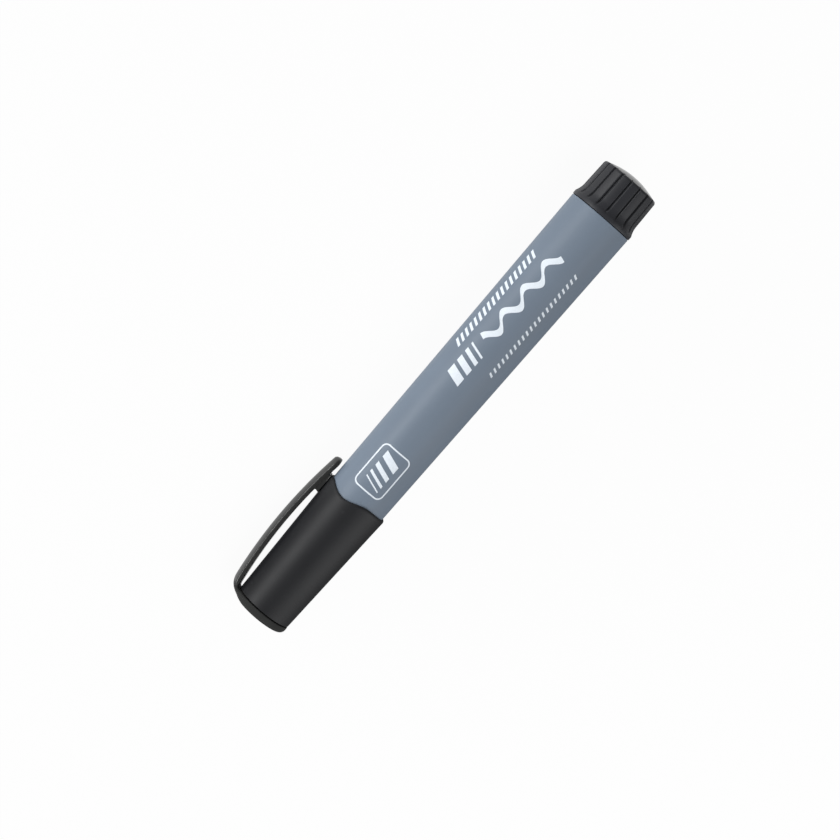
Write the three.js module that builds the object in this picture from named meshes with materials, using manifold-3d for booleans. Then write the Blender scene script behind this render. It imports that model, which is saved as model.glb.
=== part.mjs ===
import * as THREE from "three";
import { mergeVertices } from "three/addons/utils/BufferGeometryUtils.js";
import Module from "manifold-3d";

// A permanent marker lying on a surface, with its cap on.
// Lengths are in millimetres and angles in degrees. Stations run along the axis from the cap's end face
// at 0 towards the end plug. Angles round the axis start at the clip.

// Fits and edges
const seatGap = 0.3;
const slideGap = 0.15;
const edgeBreak = 0.12;
const leadIn = 0.5;

// Clip and end disc, one moulding
const discThickness = 2;
const discProud = 0.05;
const discRound = 1.2;
const clipBendRadius = 4.6;
const clipThickness = 2.15;
const clipHalfWidth = 2.9;
const clipTipHalfWidth = 2.45;
const clipClearHeight = 1.15;
const clipRise = 1.3;
const clipOverhang = 4.2;
const clipTipRound = 0.8;
const clipRootBlend = 2.6;
const clipSideShare = 0.55;
const footLength = 4.4;
const footHalfWidth = 2.4;
const footDraft = 0.45;
const spigotRadius = 3;
const spigotLength = 1.5;

// Cap tube
const capLength = 34;
const capTaper = 1;
const capWall = 1.1;
const capEndWall = 1.3;
const lipWall = 0.47;
const lipRoundLength = 0.7;
const lipRoundDepth = 0.35;
const lipCover = 2.8;
const scoopAngle = 68;
const scoopHalfAngle = 50;
const scoopDepth = 1.55;
const lipFallAngle = 62;
const lipFallDepth = 0.45;

// Liner cup inside the cap
const linerWall = 0.8;
const linerBase = 1;

// Nib and its holder
const nibRoom = 5.1;
const nibRadius = 2.3;
const nibProtrusion = 6.4;
const nibDip = 5.5;
const nibEdgeThickness = 0.9;
const nibLongBevel = 5;
const nibShortBevel = 1.9;
const nibSlant = 1.9;
const holderWall = 2.55;
const noseTipWall = 1.25;
const noseConeLength = 3;
const noseStep = 0.4;
const noseBaseLength = 2;
const holderFlange = 1.5;
const holderFlangeStep = 0.4;

// Barrel
const barrelVisible = 85.6;
const barrelLipRadius = 7.58;
const barrelFlare = 0.72;
const barrelWall = 1.35;
const neckStep = 0.88;
const neckBead = 0.15;
const socketPastShoulder = 0.8;
const shoulderChamfer = 0.35;
const ribCount = 4;
const ribWidth = 0.9;
const ribStandOut = 0.12;

// Film sleeve round the ink reservoir
const filmThickness = 0.3;

// End plug
const flangeProud = 0.11;
const flangeThickness = 0.8;
const flareLength = 2.5;
const flareDepth = 0.65;
const gripLength = 9.6;
const gripDraft = 0.16;
const gripRound = 0.75;
const domeHeight = 1.2;
const grooveCount = 18;
const grooveDepth = 0.5;
const grooveWidth = 0.8;
const grooveRunOut = 1.1;
const plugTurn = 11.5;
const plugSpigotLength = 10;
const plugWall = 1.3;
const plugBead = 0.12;
const plugBeadSetback = 2.5;

// Fineness of the round forms
const roundSteps = 72;
const innerSteps = 48;
const arcSteps = 4;

const { lerp, mapLinear, degToRad, radToDeg } = THREE.MathUtils;

// Radii that follow from the sizes above
const capLipRadius = barrelLipRadius + slideGap + lipWall;
const capEndRadius = capLipRadius - capTaper;
const discRadius = capEndRadius + discProud;
const neckRadius = barrelLipRadius - neckStep;
const nibBore = nibRadius + slideGap;
const holderInsertRadius = nibBore + holderWall;
const noseTipRadius = nibBore + noseTipWall;
const noseBaseRadius = holderInsertRadius + noseStep;
const holderFlangeRadius = neckRadius - holderFlangeStep;
const socketRadius = holderInsertRadius + seatGap;
const barrelEndRadius = barrelLipRadius + barrelFlare;
const flangeRadius = barrelEndRadius + flangeProud;
const gripRadius = flangeRadius - flareDepth;
const gripEndRadius = gripRadius - gripDraft;

// Stations that follow from the sizes above
const tubeStart = discThickness + seatGap;
const lip = tubeStart + capLength;
const seat = lip - lipCover;
const linerFront = tubeStart + capEndWall + seatGap;
const nibTip = linerFront + linerBase + nibRoom;
const noseFront = nibTip + nibProtrusion;
const flangeFront = noseFront + noseConeLength + noseBaseLength;
const boreStep = flangeFront + holderFlange;
const neckFront = boreStep + seatGap;
const linerMouth = flangeFront - seatGap;
const shoulder = seat + seatGap;
const socketEnd = shoulder + socketPastShoulder;
const barrelEnd = lip + barrelVisible;
const plugFace = barrelEnd + seatGap;
const plugSpigotEnd = plugFace - plugSpigotLength;
const gripEnd = plugFace + flangeThickness + gripLength;
const reservoirFront = socketEnd + seatGap;
const reservoirEnd = plugSpigotEnd - seatGap;
const nibRear = reservoirFront + nibDip;

// Drafted surfaces
const capRadiusAt = (x) => mapLinear(x, tubeStart, lip, capEndRadius, capLipRadius);
const capBoreAt = (x) => capRadiusAt(x) - capWall;
const linerRadiusAt = (x) => capBoreAt(x) - seatGap;
const barrelRadiusAt = (x) => mapLinear(x, lip, barrelEnd, barrelLipRadius, barrelEndRadius);
const barrelBoreAt = (x) => barrelRadiusAt(x) - barrelWall;
const ribCrestRadius = barrelBoreAt(socketEnd) - ribStandOut;
const sleeveRadius = ribCrestRadius - seatGap;
const sleeveBore = sleeveRadius - filmThickness;
const reservoirRadius = sleeveBore - seatGap;

const wasm = await Module();
wasm.setup();

function toSolid(geometry) {
  const bare = new THREE.BufferGeometry();
  bare.setAttribute("position", geometry.getAttribute("position"));
  bare.setIndex(geometry.index);
  const merged = mergeVertices(bare, 1e-4);
  return new wasm.Manifold(
    new wasm.Mesh({
      numProp: 3,
      vertProperties: merged.getAttribute("position").array,
      triVerts: new Uint32Array(merged.index.array),
    }),
  );
}

function toGeometry(solid) {
  const { vertProperties, triVerts } = solid.getMesh();
  const geometry = new THREE.BufferGeometry();
  geometry.setAttribute("position", new THREE.BufferAttribute(vertProperties, 3));
  geometry.setIndex(new THREE.BufferAttribute(triVerts, 1));
  geometry.computeVertexNormals();
  return geometry;
}

// Points on an arc in the plane of station and radius, from one angle to another.
function arc(centreX, centreR, radius, fromDegrees, toDegrees, steps = arcSteps) {
  return Array.from({ length: steps + 1 }, (_, i) => {
    const angle = degToRad(lerp(fromDegrees, toDegrees, i / steps));
    return [centreX + radius * Math.cos(angle), centreR + radius * Math.sin(angle)];
  });
}

// Turns a profile of [station, radius] points about the X axis. It starts and ends on the axis.
function turned(profile, steps = roundSteps) {
  const points = profile.map(([x, r]) => new THREE.Vector2(r, x));
  return new THREE.LatheGeometry(points, steps).rotateZ(-Math.PI / 2);
}

// Turns a profile that closes on itself.
const turnedRing = (profile, steps) => turned([...profile, profile[0]], steps);

// Skins a row of rings with equal point counts, and closes both ends with a fan.
function lofted(rings) {
  const count = rings[0].length;
  const points = rings.flat();
  const index = [];
  for (let ring = 0; ring < rings.length - 1; ring++) {
    for (let i = 0; i < count; i++) {
      const here = ring * count + i;
      const next = ring * count + ((i + 1) % count);
      index.push(here, next, next + count, here, next + count, here + count);
    }
  }
  const last = (rings.length - 1) * count;
  for (const ring of [rings[0], rings.at(-1)]) {
    const centre = new THREE.Vector3();
    ring.forEach((point) => centre.addScaledVector(point, 1 / count));
    points.push(centre);
  }
  for (let i = 0; i < count; i++) {
    const next = (i + 1) % count;
    index.push(points.length - 2, next, i, points.length - 1, last + i, last + next);
  }
  return new THREE.BufferGeometry().setFromPoints(points).setIndex(index);
}

// An outline in a plane, pushed through equally to both of its sides.
function slab(outline, depth) {
  const shape = new THREE.Shape(outline.map(([across, up]) => new THREE.Vector2(across, up)));
  return new THREE.ExtrudeGeometry(shape, { depth, bevelEnabled: false }).translate(0, 0, -depth / 2);
}

// A smooth wave from 1 at its middle to 0 at its half width.
const wave = (away) => (away < 1 ? (1 + Math.cos(Math.PI * away)) / 2 : 0);

// How far the cap's lip is drawn back at an angle from the clip: a scoop on each side of the clip, and a
// shallower fall behind.
function lipSetback(degrees) {
  const angle = Math.abs(degrees);
  const scoop = scoopDepth * wave(Math.abs(angle - scoopAngle) / scoopHalfAngle);
  return scoop + lipFallDepth * wave((180 - angle) / lipFallAngle);
}

// Cap tube: a drafted shell with an end wall. Its rounded lip covers the barrel's shoulder, and its edge
// is a wave.
function capShell() {
  const cover = barrelLipRadius + slideGap;
  const grip = neckRadius + seatGap + slideGap;
  const lipEdge = arc(0, 0, 1, 90, 0).map(([along, out]) => [
    lip - lipRoundLength * (1 - along),
    capLipRadius - lipRoundDepth * (1 - out),
  ]);
  const geometry = turnedRing([
    [tubeStart, spigotRadius + seatGap],
    [tubeStart, capEndRadius - edgeBreak],
    [tubeStart + edgeBreak, capEndRadius],
    [seat - lipCover, capRadiusAt(seat - lipCover)],
    ...lipEdge,
    [lip, cover],
    [seat, cover],
    [seat, grip],
    [boreStep, grip],
    [boreStep - leadIn, capBoreAt(boreStep - leadIn)],
    [tubeStart + capEndWall, capBoreAt(tubeStart + capEndWall)],
    [tubeStart + capEndWall, spigotRadius + seatGap],
  ]);
  const position = geometry.getAttribute("position");
  const fixedUntil = lip - lipRoundLength - edgeBreak;
  for (let i = 0; i < position.count; i++) {
    if (position.getX(i) > fixedUntil) {
      const degrees = radToDeg(Math.atan2(position.getY(i), position.getZ(i)));
      position.setX(i, position.getX(i) - lipSetback(degrees));
    }
  }
  return geometry;
}

// The clip's side view. Its arm lies between two concentric arcs, and its bend leaves the disc's face
// squarely and runs into the outer arc.
const clipTip = lip + clipOverhang;
const archMiddle = (clipBendRadius + clipTip) / 2;
const archHalfChord = (clipTip - clipBendRadius) / 2;
const archRadius = (archHalfChord ** 2 + clipRise ** 2) / (2 * clipRise);
const archInnerRadius = archRadius - clipThickness;
const archCentre = capLipRadius + clipClearHeight - archInnerRadius;
const bendCentre = archCentre + Math.sqrt((archRadius - clipBendRadius) ** 2 - archHalfChord ** 2);
const archHeightAt = (x, radius) => archCentre + Math.sqrt(radius ** 2 - (x - archMiddle) ** 2);

// One ring of the arm, flat inside and crowned outside, between a point on the arm's inner line and
// one on its outer line. Its sides stand at a share of its thickness.
function clipRing(inner, outer, halfWidth, sideShare = clipSideShare) {
  const fullness = 0.85;
  const crownSteps = 5;
  const half = [];
  for (let i = 0; i <= crownSteps; i++) {
    const angle = (Math.PI / 2) * (i / crownSteps);
    half.push([Math.sin(angle) ** fullness, lerp(sideShare, 1, Math.cos(angle) ** fullness)]);
  }
  half.push([1, 2 * edgeBreak / clipThickness], [1 - 2 * edgeBreak / clipHalfWidth, 0]);
  const mirrored = half.slice(1).reverse().map(([across, up]) => [-across, up]);
  return [...half, ...mirrored].map(([across, up]) => {
    const x = lerp(inner[0], outer[0], up);
    return new THREE.Vector3(x, -across * halfWidth, lerp(inner[1], outer[1], up));
  });
}

// The arm from its root in the disc, round the bend, along the arch, to its rounded tip.
function clipArm() {
  const sunk = 0.05;
  const rings = [];
  const backFace = discThickness - sunk;
  const rootHalfWidth = Math.sqrt(discRadius ** 2 - bendCentre ** 2) - 2 * edgeBreak;
  const rootSideShare = 0.74;
  const bendTop = Math.atan2(bendCentre - archCentre, clipBendRadius - archMiddle);
  const innerRise = 0.6;
  const innerEnd = archMiddle + archInnerRadius * Math.cos(bendTop);
  const bendSteps = 8;
  for (let i = 0; i <= bendSteps; i++) {
    const share = i / bendSteps;
    const angle = lerp(Math.PI, bendTop, share);
    const height = clipBendRadius * Math.sin(angle);
    const outer = [clipBendRadius + sunk + clipBendRadius * Math.cos(angle), bendCentre + height];
    const innerX = lerp(backFace, innerEnd, Math.max(0, (share - innerRise) / (1 - innerRise)));
    const innerTop = archHeightAt(innerX, archInnerRadius);
    const inner = [innerX, lerp(bendCentre, innerTop, Math.min(1, share / innerRise))];
    const blend = Math.max(0, 1 - height / clipRootBlend) ** 2;
    const halfWidth = lerp(clipHalfWidth, rootHalfWidth, blend);
    const sideShare = lerp(clipSideShare, rootSideShare, blend);
    rings.push(clipRing(inner, outer, halfWidth, sideShare));
  }
  const armSteps = 14;
  const armStart = archMiddle + archRadius * Math.cos(bendTop);
  for (let i = 1; i <= armSteps; i++) {
    const x = lerp(armStart, clipTip - clipTipHalfWidth, i / armSteps);
    const halfWidth = lerp(clipHalfWidth, clipTipHalfWidth, i / armSteps);
    const inner = [x, archHeightAt(x, archInnerRadius)];
    const outer = [x, archHeightAt(x, archRadius)];
    rings.push(clipRing(inner, outer, halfWidth));
  }
  const tipSteps = 6;
  const bluntness = 0.7;
  for (let i = 1; i <= tipSteps; i++) {
    const turn = ((Math.PI / 2) * i) / (tipSteps + 0.5);
    const x = clipTip - clipTipHalfWidth * (1 - Math.sin(turn));
    const fromEnd = Math.min(1, (clipTip - x) / clipTipRound);
    const squeeze = (clipThickness / 2) * (1 - Math.sqrt(1 - (1 - fromEnd) ** 2));
    const inner = [x, archHeightAt(x, archInnerRadius) + squeeze];
    const outer = [x, archHeightAt(x, archRadius) - squeeze];
    rings.push(clipRing(inner, outer, clipTipHalfWidth * Math.cos(turn) ** bluntness));
  }
  return toSolid(lofted(rings));
}

// The foot under the arm, flared towards the cap.
function clipFoot() {
  const footEnd = lip - seatGap;
  const footStart = footEnd - footLength;
  const top = archHeightAt(footStart, archInnerRadius) + clipThickness / 4;
  const bottom = capEndRadius;
  const outline = [
    [footStart - footDraft, bottom],
    [footEnd + footDraft / 2, bottom],
    [footEnd, top],
    [footStart, top],
  ];
  return toSolid(slab(outline, 2 * footHalfWidth).rotateX(Math.PI / 2));
}

// End disc with its spigot, and the arm and foot cut clear of the cap tube.
function clip() {
  const spigotEnd = discThickness + spigotLength;
  const disc = turned(
    [
      [0, 0],
      ...arc(discRound, discRadius - discRound, discRound, 180, 90),
      [discThickness - edgeBreak, discRadius],
      [discThickness, discRadius - edgeBreak],
      [discThickness, spigotRadius],
      [spigotEnd, spigotRadius],
      [spigotEnd, 0],
    ],
    innerSteps,
  );
  const capSpace = turned(
    [
      [tubeStart, 0],
      [tubeStart, capEndRadius + seatGap],
      [clipTip, capRadiusAt(clipTip) + seatGap],
      [clipTip, 0],
    ],
    innerSteps,
  );
  const arm = clipArm().add(clipFoot()).subtract(toSolid(capSpace));
  return toGeometry(toSolid(disc).add(arm));
}

// Liner cup: fits in the cap's bore and closes on the base of the holder's nose.
function innerCap() {
  const sealStart = flangeFront - noseBaseLength;
  const sealRadius = noseBaseRadius + slideGap;
  const base = linerFront + linerBase;
  return turned(
    [
      [linerFront, 0],
      [linerFront, linerRadiusAt(linerFront) - leadIn],
      [linerFront + leadIn, linerRadiusAt(linerFront + leadIn)],
      [linerMouth, linerRadiusAt(linerMouth)],
      [linerMouth, sealRadius],
      [sealStart, sealRadius],
      [sealStart - leadIn, linerRadiusAt(sealStart - leadIn) - linerWall],
      [base, linerRadiusAt(base) - linerWall],
      [base, 0],
    ],
    innerSteps,
  );
}

// Nib holder: a stem in the neck's socket, a flange on the neck, and a nose that narrows to the nib.
function nibHolder() {
  const stemEnd = socketEnd - seatGap;
  return turnedRing(
    [
      [noseFront, nibBore],
      [noseFront, noseTipRadius - edgeBreak],
      [noseFront + edgeBreak, noseTipRadius],
      [noseFront + noseConeLength, noseBaseRadius],
      [flangeFront, noseBaseRadius],
      [flangeFront, holderFlangeRadius],
      [boreStep, holderFlangeRadius],
      [boreStep, holderInsertRadius],
      [stemEnd - leadIn, holderInsertRadius],
      [stemEnd, holderInsertRadius - leadIn],
      [stemEnd, nibBore],
    ],
    innerSteps,
  );
}

// Chisel nib: a felt rod, bevelled from both sides to a blunt edge, and that edge cut at a slant.
function chiselNib() {
  const rearTaper = nibRadius / 2;
  const rod = turned(
    [
      [nibTip, 0],
      [nibTip, nibRadius],
      [nibRear - rearTaper, nibRadius],
      [nibRear, nibRadius - rearTaper],
      [nibRear, 0],
    ],
    innerSteps,
  );
  const past = nibRear + nibRadius;
  const wide = 4 * nibRadius;
  const sideOutline = [
    [nibTip, -nibEdgeThickness / 2],
    [nibTip + nibLongBevel, -nibRadius],
    [nibTip + nibLongBevel, -wide],
    [past, -wide],
    [past, wide],
    [nibTip + nibShortBevel, wide],
    [nibTip + nibShortBevel, nibRadius],
    [nibTip, nibEdgeThickness / 2],
  ];
  const planOutline = [
    [nibTip, -nibRadius],
    [past, -nibRadius],
    [past, 3 * nibRadius],
    [nibTip + 2 * nibSlant, 3 * nibRadius],
  ];
  const side = toSolid(slab(sideOutline, 2 * wide).rotateX(Math.PI / 2));
  const plan = toSolid(slab(planOutline, 2 * wide));
  return toGeometry(toSolid(rod).intersect(side).intersect(plan));
}

// Barrel: a drafted tube with a shoulder and a neck for the cap, a socket for the nib holder, and ribs
// along its bore that centre the sleeve.
function barrel() {
  const bead = (neckFront + shoulder) / 2;
  const tube = turnedRing([
    [neckFront, socketRadius],
    [neckFront, neckRadius - leadIn],
    [neckFront + leadIn, neckRadius],
    [bead - leadIn, neckRadius],
    [bead, neckRadius + neckBead],
    [bead + leadIn, neckRadius],
    [shoulder, neckRadius],
    [shoulder, barrelRadiusAt(shoulder) - shoulderChamfer],
    [shoulder + shoulderChamfer, barrelRadiusAt(shoulder + shoulderChamfer)],
    [barrelEnd - edgeBreak, barrelRadiusAt(barrelEnd - edgeBreak)],
    [barrelEnd, barrelEndRadius - edgeBreak],
    [barrelEnd, barrelBoreAt(barrelEnd)],
    [plugSpigotEnd, barrelBoreAt(barrelEnd)],
    [socketEnd, barrelBoreAt(socketEnd)],
    [socketEnd, socketRadius],
  ]);
  const ribStart = socketEnd + barrelWall;
  const ribLength = reservoirEnd - ribStart - barrelWall;
  const ribHeight = barrelRadiusAt(ribStart) - barrelWall / 2 - ribCrestRadius;
  let shell = toSolid(tube);
  for (let i = 0; i < ribCount; i++) {
    const rib = new THREE.BoxGeometry(ribLength, ribWidth, ribHeight);
    rib.translate(ribStart + ribLength / 2, 0, ribCrestRadius + ribHeight / 2);
    rib.rotateX((2 * Math.PI * (i + 0.5)) / ribCount);
    shell = shell.add(toSolid(rib));
  }
  return toGeometry(shell);
}

// Fibre rod with a blind hole in front that takes the nib's rear end.
function inkReservoir() {
  return turned(
    [
      [nibRear + seatGap, 0],
      [nibRear + seatGap, nibBore],
      [reservoirFront, nibBore],
      [reservoirFront, reservoirRadius],
      [reservoirEnd, reservoirRadius],
      [reservoirEnd, 0],
    ],
    innerSteps,
  );
}

// Film sleeve round the fibre rod.
function reservoirWrap() {
  return turnedRing(
    [
      [reservoirFront, sleeveBore],
      [reservoirFront, sleeveRadius],
      [reservoirEnd, sleeveRadius],
      [reservoirEnd, sleeveBore],
    ],
    innerSteps,
  );
}

// One ring of the plug's outside, with its grooves cut to a share of their full depth.
function gripRing(x, radius, grooveShare) {
  const halfGroove = radToDeg(grooveWidth / 2 / gripRadius);
  const pitch = 360 / grooveCount;
  const ring = [];
  for (let groove = 0; groove < grooveCount; groove++) {
    for (const offset of [-halfGroove, 0, halfGroove, pitch / 2]) {
      const angle = degToRad(plugTurn + groove * pitch + offset);
      const reach = offset === 0 ? radius - grooveShare * grooveDepth : radius;
      ring.push(new THREE.Vector3(x, -reach * Math.sin(angle), reach * Math.cos(angle)));
    }
  }
  return ring;
}

// The plug's outside: flange, concave flare, grooved grip, and a smooth dome inside the grip's rim.
function plugOutside() {
  const rings = [
    gripRing(plugFace, flangeRadius - edgeBreak, 0),
    gripRing(plugFace + edgeBreak, flangeRadius, 0),
  ];
  const flareSteps = 5;
  for (let i = 0; i <= flareSteps; i++) {
    const share = i / flareSteps;
    const radius = lerp(flangeRadius, gripRadius, 1 - (1 - share) ** 2);
    const cut = Math.min(1, (share * flareLength) / grooveRunOut);
    rings.push(gripRing(plugFace + flangeThickness + share * flareLength, radius, cut));
  }
  for (const [x, radius] of arc(gripEnd - gripRound, gripEndRadius - gripRound, gripRound, 90, 15, 3)) {
    rings.push(gripRing(x, radius, 1));
  }
  const domeRim = gripEndRadius - gripRound - edgeBreak;
  const domeSteps = 4;
  for (let i = 0; i <= domeSteps; i++) {
    const share = (i / domeSteps) * 0.95;
    rings.push(gripRing(gripEnd + domeHeight * (1 - (1 - share) ** 2), domeRim * (1 - share), 0));
  }
  return toSolid(lofted(rings));
}

// End plug: its outside on a hollow spigot, whose bead seals in the barrel's bore.
function endPlug() {
  const beadRadius = barrelBoreAt(barrelEnd) - slideGap;
  const stemRadius = beadRadius - plugBead;
  const hollowRadius = reservoirRadius + slideGap;
  const bead = plugSpigotEnd + plugBeadSetback;
  const spigot = turned(
    [
      [plugSpigotEnd, 0],
      [plugSpigotEnd, stemRadius - leadIn],
      [plugSpigotEnd + leadIn, stemRadius],
      [bead - leadIn, stemRadius],
      [bead, beadRadius],
      [bead + leadIn, stemRadius],
      [plugFace + flangeThickness, stemRadius],
      [plugFace + flangeThickness, 0],
    ],
    innerSteps,
  );
  const hollow = turned(
    [
      [plugSpigotEnd - seatGap, 0],
      [plugSpigotEnd - seatGap, hollowRadius],
      [gripEnd - plugWall, hollowRadius - leadIn],
      [gripEnd - plugWall, 0],
    ],
    innerSteps,
  );
  return toGeometry(plugOutside().add(toSolid(spigot)).subtract(toSolid(hollow)));
}

const satinBlack = { color: 0x2f3032, roughness: 0.45, metalness: 0 };
const pieces = [
  ["barrel", barrel, { color: 0x7c8693, roughness: 0.4, metalness: 0 }],
  ["end_plug", endPlug, { color: 0x37383b, roughness: 0.4, metalness: 0 }],
  ["ink_reservoir", inkReservoir, { color: 0x1b1b20, roughness: 1, metalness: 0 }],
  ["reservoir_wrap", reservoirWrap, { color: 0xdfe2e6, roughness: 0.3, metalness: 0 }],
  ["nib_holder", nibHolder, satinBlack],
  ["chisel_nib", chiselNib, { color: 0x18181b, roughness: 0.95, metalness: 0 }],
  ["cap_shell", capShell, satinBlack],
  ["clip", clip, { color: 0x363833, roughness: 0.42, metalness: 0 }],
  ["inner_cap", innerCap, { color: 0x4a4b4e, roughness: 0.5, metalness: 0 }],
];

const marker = new THREE.Group();
for (const [name, build, finish] of pieces) {
  const mesh = new THREE.Mesh(build(), new THREE.MeshStandardMaterial(finish));
  mesh.name = name;
  marker.add(mesh);
}

// How far the clip reaches below the axis when it dips by an angle from the level, in radians.
function clipReach(dip) {
  const position = marker.getObjectByName("clip").geometry.getAttribute("position");
  let reach = 0;
  for (let i = 0; i < position.count; i++) {
    reach = Math.max(reach, position.getZ(i) * Math.sin(dip) + position.getY(i) * Math.cos(dip));
  }
  return reach;
}

// The marker rolls until its clip reaches as low as the plug's flange, and so lies still.
function restingDip() {
  let low = 0;
  let high = Math.PI / 2;
  while (high - low > 1e-9) {
    const middle = (low + high) / 2;
    if (clipReach(middle) < flangeRadius) {
      low = middle;
    } else {
      high = middle;
    }
  }
  return low;
}

marker.rotation.x = -Math.PI / 2 - restingDip();

// The origin lies on the surface, under the middle of the marker's box.
const group = new THREE.Group();
group.add(marker);
const extent = new THREE.Box3().setFromObject(group, true);
const middle = extent.getCenter(new THREE.Vector3());
marker.position.set(-middle.x, -middle.y, -extent.min.z);

export default group;
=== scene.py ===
import math

import bmesh
import bpy
import numpy as np
from mathutils import Matrix, Vector


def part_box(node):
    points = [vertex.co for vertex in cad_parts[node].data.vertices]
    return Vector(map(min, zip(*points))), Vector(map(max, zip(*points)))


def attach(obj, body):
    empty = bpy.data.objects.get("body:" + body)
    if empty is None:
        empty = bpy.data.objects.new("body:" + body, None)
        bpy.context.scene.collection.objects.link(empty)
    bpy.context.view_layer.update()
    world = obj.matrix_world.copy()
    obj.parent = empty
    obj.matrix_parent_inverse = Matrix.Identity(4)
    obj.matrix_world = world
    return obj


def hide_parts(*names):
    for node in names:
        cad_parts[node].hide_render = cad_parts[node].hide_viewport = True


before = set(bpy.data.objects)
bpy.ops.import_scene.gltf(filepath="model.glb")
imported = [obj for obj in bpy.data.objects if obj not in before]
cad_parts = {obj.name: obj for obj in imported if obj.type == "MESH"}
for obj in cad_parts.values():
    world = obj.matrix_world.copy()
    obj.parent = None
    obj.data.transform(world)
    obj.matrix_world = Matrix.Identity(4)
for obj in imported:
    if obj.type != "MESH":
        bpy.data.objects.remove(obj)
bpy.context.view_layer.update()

# Driving sizes, in millimetres and degrees, the same as in the CAD source.
# Stations run along the axis from the cap's end face. Angles round the axis start at the clip.
SEAT_GAP = 0.3
SLIDE_GAP = 0.15
EDGE_BREAK = 0.12
LEAD_IN = 0.5

DISC_THICKNESS = 2.0
DISC_PROUD = 0.05
DISC_ROUND = 1.2
SPIGOT_RADIUS = 3.0
SPIGOT_LENGTH = 1.5
CLIP_BEND_RADIUS = 4.6
CLIP_THICKNESS = 2.15
CLIP_HALF_WIDTH = 2.9
CLIP_TIP_HALF_WIDTH = 2.45
CLIP_CLEAR_HEIGHT = 1.15
CLIP_RISE = 1.3
CLIP_OVERHANG = 4.2
CLIP_TIP_ROUND = 0.8
CLIP_TIP_BLUNTNESS = 0.7
CLIP_INNER_RISE = 0.6
CLIP_ROOT_BLEND = 2.6
CLIP_ROOT_SIDE_SHARE = 0.74
CLIP_SUNK = 0.05
FOOT_LENGTH = 4.4
FOOT_HALF_WIDTH = 2.4
FOOT_DRAFT = 0.45

CAP_LENGTH = 34.0
CAP_TAPER = 1.0
CAP_WALL = 1.1
CAP_END_WALL = 1.3
LIP_WALL = 0.47
LIP_ROUND_LENGTH = 0.7
LIP_ROUND_DEPTH = 0.35
LIP_COVER = 2.8
SCOOP_ANGLE = 68.0
SCOOP_HALF_ANGLE = 50.0
SCOOP_DEPTH = 1.55
LIP_FALL_ANGLE = 62.0
LIP_FALL_DEPTH = 0.45
LINER_WALL = 0.8
LINER_BASE = 1.0

NIB_ROOM = 5.1
NIB_RADIUS = 2.3
NIB_PROTRUSION = 6.4
HOLDER_WALL = 2.55
NOSE_TIP_WALL = 1.25
NOSE_CONE_LENGTH = 3.0
NOSE_STEP = 0.4
NOSE_BASE_LENGTH = 2.0
HOLDER_FLANGE = 1.5
HOLDER_FLANGE_STEP = 0.4

BARREL_VISIBLE = 85.6
BARREL_LIP_RADIUS = 7.58
BARREL_FLARE = 0.72
BARREL_WALL = 1.35
NECK_STEP = 0.88
NECK_BEAD = 0.15
SOCKET_PAST_SHOULDER = 0.8
SHOULDER_CHAMFER = 0.35
RIB_COUNT = 4
RIB_WIDTH = 0.9
RIB_STAND_OUT = 0.12
FILM_THICKNESS = 0.3

FLANGE_PROUD = 0.11
FLANGE_THICKNESS = 0.8
FLARE_LENGTH = 2.5
FLARE_DEPTH = 0.65
GRIP_LENGTH = 9.6
GRIP_DRAFT = 0.16
GRIP_ROUND = 0.75
DOME_HEIGHT = 1.2
GROOVE_COUNT = 18
GROOVE_DEPTH = 0.5
GROOVE_WIDTH = 0.8
GROOVE_RUN_OUT = 1.1
PLUG_TURN = 11.5
PLUG_SPIGOT_LENGTH = 10.0
PLUG_WALL = 1.3
PLUG_BEAD = 0.12
PLUG_BEAD_SETBACK = 2.5

# How far the clip dips from the level when the marker lies still, which the CAD source works out.
DIP = 35.5438

# Radii and stations worked out from the driving sizes.
COVER_RADIUS = BARREL_LIP_RADIUS + SLIDE_GAP
CAP_LIP_RADIUS = COVER_RADIUS + LIP_WALL
CAP_END_RADIUS = CAP_LIP_RADIUS - CAP_TAPER
DISC_RADIUS = CAP_END_RADIUS + DISC_PROUD
NECK_RADIUS = BARREL_LIP_RADIUS - NECK_STEP
CAP_GRIP_RADIUS = NECK_RADIUS + SEAT_GAP + SLIDE_GAP
NIB_BORE = NIB_RADIUS + SLIDE_GAP
HOLDER_RADIUS = NIB_BORE + HOLDER_WALL
NOSE_TIP_RADIUS = NIB_BORE + NOSE_TIP_WALL
NOSE_BASE_RADIUS = HOLDER_RADIUS + NOSE_STEP
HOLDER_FLANGE_RADIUS = NECK_RADIUS - HOLDER_FLANGE_STEP
SOCKET_RADIUS = HOLDER_RADIUS + SEAT_GAP
BARREL_END_RADIUS = BARREL_LIP_RADIUS + BARREL_FLARE
PLUG_STEM_RADIUS = BARREL_END_RADIUS - BARREL_WALL - SLIDE_GAP - PLUG_BEAD
FLANGE_RADIUS = BARREL_END_RADIUS + FLANGE_PROUD
GRIP_RADIUS = FLANGE_RADIUS - FLARE_DEPTH
GRIP_END_RADIUS = GRIP_RADIUS - GRIP_DRAFT

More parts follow.
